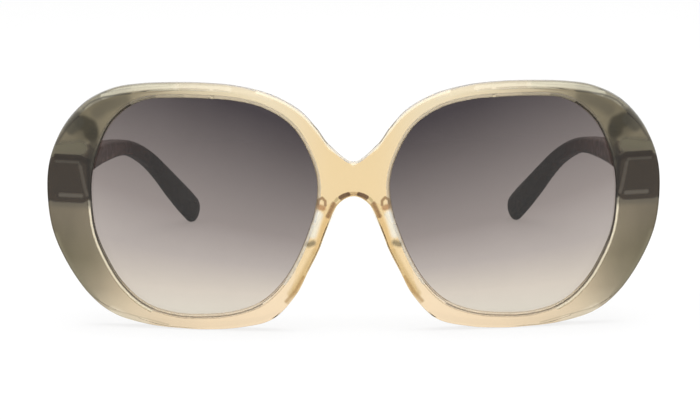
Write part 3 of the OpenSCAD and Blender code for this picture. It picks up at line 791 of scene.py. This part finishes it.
# How the olive's border moves inwards with height, and how far it wavers
LEAN_FROM, LEAN, LEAN_ABOVE = 0.033, 0.15, 0.1
WAVER, WAVER_SCALE = 0.004, 55
OLIVE_SPAN, HEIGHT_SPAN, BRIDGE_SPAN = (0.030, 0.068), (0.004, 0.056), (0.004, 0.020)
OLIVE_SHARES = (
    (0.0, 0), (0.10, 0.06), (0.25, 0.17), (0.40, 0.30), (0.53, 0.43), (0.66, 0.66), (0.75, 0.83),
    (0.85, 0.93), (1, 1),
)
OLIVE_TONES = (
    (0.0, (0.44, 0.42, 0.34)), (0.10, (0.22, 0.205, 0.155)), (0.25, (0.148, 0.135, 0.093)),
    (0.44, (0.152, 0.13, 0.092)), (0.80, (0.165, 0.145, 0.10)), (1.0, (0.15, 0.13, 0.08)),
)
BRIDGE_TONE, FOOT_TONE, BROW_TONE = (0.878, 0.70, 0.42), (0.96, 0.80, 0.60), (0.87, 0.77, 0.565)
MILK_TONE, MILK = (0.72, 0.62, 0.45), 0.05
AMBER_TONE, AMBER_DENSITY = (0.89, 0.62, 0.10), 35
# The smoke of the lens, from its foot up
LENS_SPAN = (0.003, 0.058)
LENS_TONES = (
    (0.0, (0.76, 0.71, 0.61)), (0.12, (0.68, 0.61, 0.53)), (0.27, (0.46, 0.41, 0.38)),
    (0.45, (0.285, 0.245, 0.23)), (1.0, (0.035, 0.025, 0.03)),
)
SMOKE_TONE, SMOKE = (0.25, 0.22, 0.23), 0.03
# Between which heights the tint's slope across the lens grows, and from what to what
TINT_SLOPE = (0.004, 0.040, 0.03, 0.34)
# Where the lens's painted edge shade runs: the upper temporal corner, the temporal side, below and the nose
# side
CORNER_WAY, CORNER_SPAN = (0.93, 0.37), (0.014, 0.022)
TEMPORAL_SPAN, LOWER_SPAN, NOSE_SPAN = (0.008, 0.018), (0.030, 0.015), (-0.026, -0.019)
# The painted edge shade's tones: along the lens's edge, and in its upper temporal corner
EDGE_SHADE_TONE, CORNER_SHADE_TONE = (0.10, 0.075, 0.05), (0.015, 0.010, 0.008)
PAD_TONES = (1.0, 0.97, 0.90), (0.98, 0.94, 0.84)
TEMPLE_SPAN, STREAK_TONE, STREAK = (-0.01, 0.06), (0.02, 0.011, 0.006), 0.4
TEMPLE_TONES = (
    (0.0, (0.22, 0.145, 0.12)), (0.35, (0.19, 0.11, 0.09)), (0.5, (0.095, 0.05, 0.037)),
    (0.75, (0.038, 0.02, 0.010)), (1.0, (0.018, 0.012, 0.004)),
)
BRUSHED_DARK, BRUSHED_ROUGHER = 0.82, 0.14


def front_plastic():
    """Champagne in the middle, olive at the sides, untinted on the walls of the lens's groove, with painted
    light and shade.
    """
    m = Surface("front_plastic")
    x, _, z = m.axes()
    side = m.math("ABSOLUTE", x)
    above = m.math("SUBTRACT", z, LEAN_FROM)
    lean = m.math("MULTIPLY_ADD", above, LEAN, side)
    lean = m.math("MULTIPLY_ADD", m.math("MAXIMUM", above, 0.0), LEAN_ABOVE, lean)
    wave = m.math("SUBTRACT", m.noise(WAVER_SCALE, 2), 0.5)
    border = m.math("MULTIPLY_ADD", wave, WAVER, lean)
    stops = [(at, (v, v, v)) for at, v in OLIVE_SHARES]
    share = m.ramp(m.span(border, *OLIVE_SPAN, smooth=False), stops)
    height = m.span(z, *HEIGHT_SPAN, smooth=False)
    rims = m.mix(height, rgba(FOOT_TONE), rgba(BROW_TONE))
    champagne = m.mix(m.span(side, *BRIDGE_SPAN), rgba(BRIDGE_TONE), rims)
    body = m.mix(share, champagne, m.ramp(height, OLIVE_TONES))
    body = m.mix(m.span(m.noise(140, 3), *PATCH_SPAN, 0.0, MILK), body, rgba(MILK_TONE))
    # Painted highlights, dark lines and shade, and the cloudiness that lets them hide what lies behind
    body, painted_cover = m.shaded(body, EDGE_SHADES + HINGE_SHADES + NOSE_SHADES)
    m.set(
        Base_Color=m.mix(m.attribute("groove", 0.96, 0.995, smooth=False), body, WHITE),
        Roughness=m.worn(900, 4, 0.012, 0.05),
        IOR=1.49,
        Transmission_Weight=m.math("SUBTRACT", 1.0, painted_cover),
    )
    m.bump(m.noise(420, 2), 0.00002, 0.25)
    amber = m.node("ShaderNodeVolumeAbsorption")
    amber.inputs["Color"].default_value = rgba(AMBER_TONE)
    amber.inputs["Density"].default_value = AMBER_DENSITY
    m.put(m.output.inputs["Volume"], amber.outputs[0])
    return m.material


def lens_tint():
    """Smoke, dark above and nearly clear below, untinted in the groove but for a painted dark edge shade."""
    m = Surface("lens_tint")
    x, _, z = m.axes()
    side = m.math("SUBTRACT", m.math("ABSOLUTE", x), LENS_X * MM)
    low = m.math("SUBTRACT", z, m.math("MULTIPLY", side, m.span(z, *TINT_SLOPE)))
    tint = m.ramp(m.span(low, *LENS_SPAN, smooth=False), LENS_TONES)
    tint = m.mix(m.span(m.noise(60, 2), 0.35, 0.65, 0.0, SMOKE), tint, rgba(SMOKE_TONE))
    # The painted edge shade: wide and darkest in the upper temporal corner, thin round the temporal side and
    # below, fading out towards the nose
    over = m.math("MULTIPLY", m.math("SUBTRACT", z, LENS_Z * MM), CORNER_WAY[1])
    upper = m.span(m.math("ADD", m.math("MULTIPLY", side, CORNER_WAY[0]), over), *CORNER_SPAN)
    round_side = m.math("MAXIMUM", m.span(side, *TEMPORAL_SPAN), m.span(z, *LOWER_SPAN))
    narrow = m.math("MULTIPLY", round_side, m.span(side, *NOSE_SPAN))
    thin = m.math("MULTIPLY", m.attribute("painted_edge_shade", 0.6, 0.9), narrow)
    wide = m.math("MULTIPLY", m.attribute("painted_edge_shade", 0.2, 0.4), upper)
    line = m.mix(upper, rgba(EDGE_SHADE_TONE), rgba(CORNER_SHADE_TONE))
    tint = m.mix(m.attribute("in_groove", 0.3, 0.7), tint, WHITE)
    m.set(
        Base_Color=m.mix(m.math("MAXIMUM", thin, wide), tint, line),
        Roughness=m.worn(700, 3, 0.0, 0.02),
        IOR=1.5,
        Transmission_Weight=1.0,
    )
    m.bump(m.noise(90, 1), 0.00001, 0.1)
    return m.material


def pad_plastic():
    m = Surface("pad_plastic")
    m.set(
        Base_Color=m.mix(m.span(m.noise(300, 3), *PATCH_SPAN), *[rgba(tone) for tone in PAD_TONES]),
        Roughness=m.worn(1100, 3, 0.10, 0.18),
        IOR=1.05,
        Transmission_Weight=1.0,
    )
    m.bump(m.noise(600, 2), 0.00001, 0.05)
    return m.material


def temple_plastic():
    """Brown with faint streaks, darker towards the tip."""
    m = Surface("temple_plastic")
    streak = m.span(m.noise(60, 4, stretch=(3, 0.5, 3)), 0.35, 0.7)
    colour = m.ramp(m.span(m.axes()[1], *TEMPLE_SPAN, smooth=False), TEMPLE_TONES)
    m.set(
        Base_Color=m.mix(m.math("MULTIPLY", streak, STREAK), colour, rgba(STREAK_TONE)),
        Roughness=m.worn(500, 4, 0.2, 0.32),
        IOR=1.45,
        Specular_IOR_Level=0.15,
    )
    m.bump(m.noise(350, 3), 0.00003, 0.2)
    return m.material


def steel(name, colour, rough):
    m = Surface(name)
    brushed = m.noise(2500, 3, stretch=(1, 1, 0.08))
    dark = rgba([c * BRUSHED_DARK for c in colour])
    m.set(
        Base_Color=m.mix(m.span(brushed, *PATCH_SPAN), rgba(colour), dark),
        Metallic=1.0,
        Roughness=m.span(brushed, 0.25, 0.75, rough, rough + BRUSHED_ROUGHER),
    )
    m.bump(brushed, 0.00001, 0.3)
    return m.material


# The pieces
FRONT, LEFT, RIGHT = "front", "left_temple", "right_temple"


def dress(obj, body, node, material):
    obj.data.materials.clear()
    obj.data.materials.append(material)
    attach(obj, body)
    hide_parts(node)


plastic, tint, amber, brown = front_plastic(), lens_tint(), pad_plastic(), temple_plastic()
dress(build_front(), FRONT, "front", plastic)
for build, name, material, slot in (
    (build_lens, "lens", tint, "lens_tint"),
    (build_pad, "nose_pad", amber, "pad_plastic"),
):
    left = build(name + "_left_piece")
    right = mirrored(name + "_right_piece", left, SHARP if name == "lens" else PAD_SHARP)
    if name == "lens":
        mark_edge(right)
    dress(left, FRONT, name + "_left", material)
    dress(right, FRONT, name + "_right", material)
left = build_temple("temple_left_piece")
right = mirrored("temple_right_piece", left, TEMPLE_SHARP)
dress(left, LEFT, "temple_left", brown)
dress(right, RIGHT, "temple_right", brown)

# Each metal's name, colour and roughness, and how the names of its nodes start
METALS = (
    ("hinge_metal", (0.60, 0.585, 0.56), 0.24, ("front_hinge", "temple_hinge")),
    ("screw_steel", (0.70, 0.70, 0.71), 0.14, ("hinge_screw",)),
    ("core_steel", (0.56, 0.56, 0.57), 0.3, ("core_wire",)),
)
for metal_name, colour, rough, starts in METALS:
    material = steel(metal_name, colour, rough)
    for name, obj in frame["nodes"].items():
        if name.startswith(starts):
            obj.data.materials.clear()
            obj.data.materials.append(material)
            shade(obj.data, METAL_SHARP)

# Floor
FLOOR_HALF, FLOOR_DROP, FLOOR_GREY, FLOOR_GLOW = 4, 0.00005, 0.93, 0.8
# Where the floor passes from the camera's side to behind the front, and how bright rays that have gone
# through the plastic, and mirrored ones, find each of the two
FLOOR_SPAN, THROUGH_LEVELS, MIRROR_LEVELS = (-0.16, -0.09), (0.2, 1.0), (0.8, 0.1)
scene = bpy.context.scene
floor_mesh = bpy.data.meshes.new("floor")
h = FLOOR_HALF
floor_mesh.from_pydata([(-h, -h, 0), (h, -h, 0), (h, h, 0), (-h, h, 0)], [], [(0, 1, 2, 3)])
floor = bpy.data.objects.new("floor", floor_mesh)
floor.location = (0, 0, -FLOOR_DROP)
scene.collection.objects.link(floor)
m = Surface("floor_white")
m.set(Base_Color=grey(FLOOR_GREY), Roughness=0.9, Specular_IOR_Level=0.0)
rays = m.node("ShaderNodeLightPath").outputs
seen, glossy, through = rays["Is Camera Ray"], rays["Is Glossy Ray"], rays["Is Transmission Ray"]
behind = m.span(m.axes()[1], *FLOOR_SPAN)
only_mirrored = m.math("MAXIMUM", m.math("SUBTRACT", glossy, through), 0.0)
level = m.mix(through, WHITE, m.mix(behind, *[grey(v) for v in THROUGH_LEVELS]))
level = m.mix(only_mirrored, level, m.mix(behind, *[grey(v) for v in MIRROR_LEVELS]))
glow = m.node("ShaderNodeEmission")
m.put(glow.inputs["Color"], level)
plain = m.math("MAXIMUM", seen, m.math("MAXIMUM", glossy, through))
mixed = m.node("ShaderNodeMixShader")
share = m.math("MULTIPLY", plain, FLOOR_GLOW)
for socket, value in zip(mixed.inputs, (share, m.shader.outputs[0], glow.outputs[0])):
    m.put(socket, value)
m.put(m.output.inputs["Surface"], mixed.outputs[0])
floor_mesh.materials.append(m.material)

# World: white for the camera, dim round the horizon where surfaces mirror it, and dark on the camera's side
# where light that has turned round inside the plastic would come from. Each span gives two places and their
# two levels
STUDIO_LEVEL, MIRRORED_SPAN, THROUGH_SPAN = 0.6, (-0.9, -0.2, 0.8, 1.0), (-0.85, -0.3, 0.2, 1.0)
world = bpy.data.worlds.new("studio")
scene.world = world
m = Nodes(world, "Generated")
y = m.axes()[1]
rays = m.node("ShaderNodeLightPath").outputs
level = m.mix(rays["Is Glossy Ray"], grey(STUDIO_LEVEL), m.span(y, *MIRRORED_SPAN))
level = m.mix(rays["Is Transmission Ray"], level, m.span(y, *THROUGH_SPAN))
level = m.mix(rays["Is Camera Ray"], level, WHITE)
m.put(m.tree.nodes["Background"].inputs["Color"], level)

# Lamps, each with its name, place, aim, width, depth and power
LAMPS = (
    ("top_softbox", (0, -0.05, 0.8), (0, 0, 0), 0.9, 0.7, 6.0),
    ("left_strip", (0.7, -0.05, 0.36), (0, -0.05, 0.03), 0.5, 0.12, 0.6),
    ("right_strip", (-0.7, -0.05, 0.36), (0, -0.05, 0.03), 0.5, 0.12, 0.6),
)
for name, place, aim, wide, deep, power in LAMPS:
    light = bpy.data.lights.new(name, "AREA")
    light.shape = "RECTANGLE"
    light.size, light.size_y, light.energy = wide, deep, power
    obj = bpy.data.objects.new(name, light)
    obj.location = place
    obj.rotation_euler = (Vector(aim) - Vector(place)).to_track_quat("-Z", "Y").to_euler()
    obj.visible_transmission = False
    obj.visible_glossy = False
    scene.collection.objects.link(obj)

# Camera: its tilt and roll, how far it stands, the height it looks at, the width it takes in there, and how
# far the picture is shifted, in pixels
TILT, ROLL, FAR, LOOK_Z, FIELD = math.radians(11), math.radians(-0.35), 0.9, 0.03041, 0.168
SENSOR, PICTURE_WIDTH, SHIFTED, CLIP = 36, 700, -3.7, (0.05, 20)
focus = Vector((0, cad_box[0][1], LOOK_Z))
camera = bpy.data.cameras.new("camera")
camera.sensor_width = SENSOR
camera.lens = SENSOR * FAR / FIELD
camera.shift_x = SHIFTED / PICTURE_WIDTH
camera.clip_start, camera.clip_end = CLIP
eye = bpy.data.objects.new("camera", camera)
eye.location = focus - FAR * Vector((0, math.cos(TILT), -math.sin(TILT)))
turn = Matrix.Rotation(math.pi / 2 - TILT, 3, "X") @ Matrix.Rotation(ROLL, 3, "Z")
eye.rotation_euler = turn.to_euler()
scene.collection.objects.link(eye)
scene.camera = eye
scene.view_settings.view_transform = "Standard"

bpy.context.view_layer.update()
